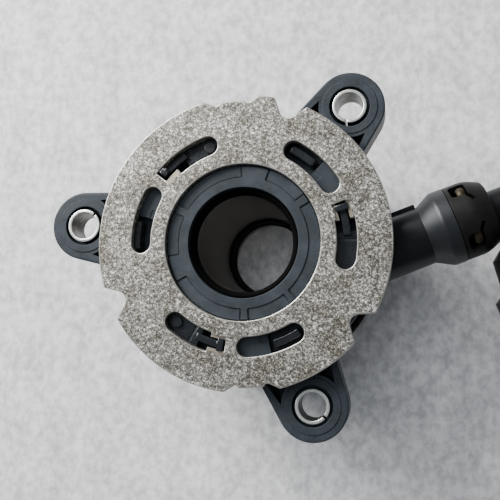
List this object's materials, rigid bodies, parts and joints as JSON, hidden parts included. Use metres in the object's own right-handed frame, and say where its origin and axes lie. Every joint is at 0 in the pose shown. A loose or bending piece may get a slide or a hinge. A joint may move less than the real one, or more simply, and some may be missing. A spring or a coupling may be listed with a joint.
{
  "type": "clutch release bearing",
  "caption": "Hydraulic clutch release bearing: ring-shaped plastic slave cylinder with steel plate, bolt ears, side port with line elbow, preload spring and ball bearing.",
  "frame": {"origin": "middle of the part's overall box, on the plane of the bearing's contact face; the bearing's axis stands 14.35 mm towards -X and 3.04 mm towards +Y of it", "axes": "+Z along the bearing's axis towards the gearbox, out of the steel plate's face; +X level, towards the side that the hydraulic port leaves"},
  "size_m": [0.1386, 0.0978, 0.055],
  "materials": {
    "moulded_plastic": "glass-filled moulded plastic with a faint blue sheen",
    "dark_plastic": "matt black moulded plastic",
    "plate_steel": "pressed steel with a mottled zinc coat",
    "sleeve_steel": "bright zinc-plated rolled steel",
    "tube_steel": "dark drawn steel tube",
    "bearing_steel": "ground bearing steel",
    "spring_steel": "oiled spring steel",
    "clip_wire": "copper-coloured spring wire",
    "seal_rubber": "black rubber",
    "cage_plastic": "natural nylon"
  },
  "bodies": {
    "housing": {"cylinder_housing": "moulded_plastic", "reinforcing_plate": "plate_steel", "ear_sleeve_1": "sleeve_steel", "ear_sleeve_2": "sleeve_steel", "ear_sleeve_3": "sleeve_steel", "guide_tube": "tube_steel", "tube_o_ring": "seal_rubber", "tube_retainer": "dark_plastic", "shaft_wiper": "seal_rubber", "port_collar": "dark_plastic", "line_clip": "clip_wire", "preload_spring": "spring_steel"},
    "release_piston": {"annular_piston": "dark_plastic", "piston_seal": "seal_rubber", "bearing_carrier": "dark_plastic", "bearing_outer_ring": "bearing_steel", "upper_shield": "seal_rubber", "lower_shield": "seal_rubber", "snap_ring": "spring_steel"},
    "contact_ring": {"bearing_inner_ring": "bearing_steel"},
    "ball_set": {"ball_cage": "cage_plastic", "ball_01": "bearing_steel", "ball_02": "bearing_steel", "ball_03": "bearing_steel", "ball_04": "bearing_steel", "ball_05": "bearing_steel", "ball_06": "bearing_steel", "ball_07": "bearing_steel", "ball_08": "bearing_steel", "ball_09": "bearing_steel", "ball_10": "bearing_steel", "ball_11": "bearing_steel", "ball_12": "bearing_steel", "ball_13": "bearing_steel"},
    "line_end": {"line_elbow": "dark_plastic", "elbow_o_ring": "seal_rubber"}
  },
  "joints": [
    {"name": "release_slide", "type": "slide", "parent": "housing", "child": "release_piston", "axis": [0, 0, 1], "range_m": [0, 0.008], "stiffness_N_per_m": 700, "springref_m": -0.03, "deforming": ["preload_spring"]},
    {"name": "bearing_spin", "type": "hinge", "parent": "release_piston", "child": "contact_ring", "pos_m": [-0.01435, 0.00304, 0.0084], "axis": [0, 0, 1], "continuous": true},
    {"name": "cage_spin", "type": "hinge", "parent": "release_piston", "child": "ball_set", "pos_m": [-0.01435, 0.00304, 0.0084], "axis": [0, 0, 1], "continuous": true},
    {"name": "elbow_swivel", "type": "hinge", "parent": "housing", "child": "line_end", "pos_m": [0.04607, 0.00982, 0.043], "axis": [0.9397, 0.342, 0], "range_deg": [-30, 30]}
  ],
  "couplings": [
    {"joint": "cage_spin", "follows": "bearing_spin", "ratio": 0.4375}
  ]
}
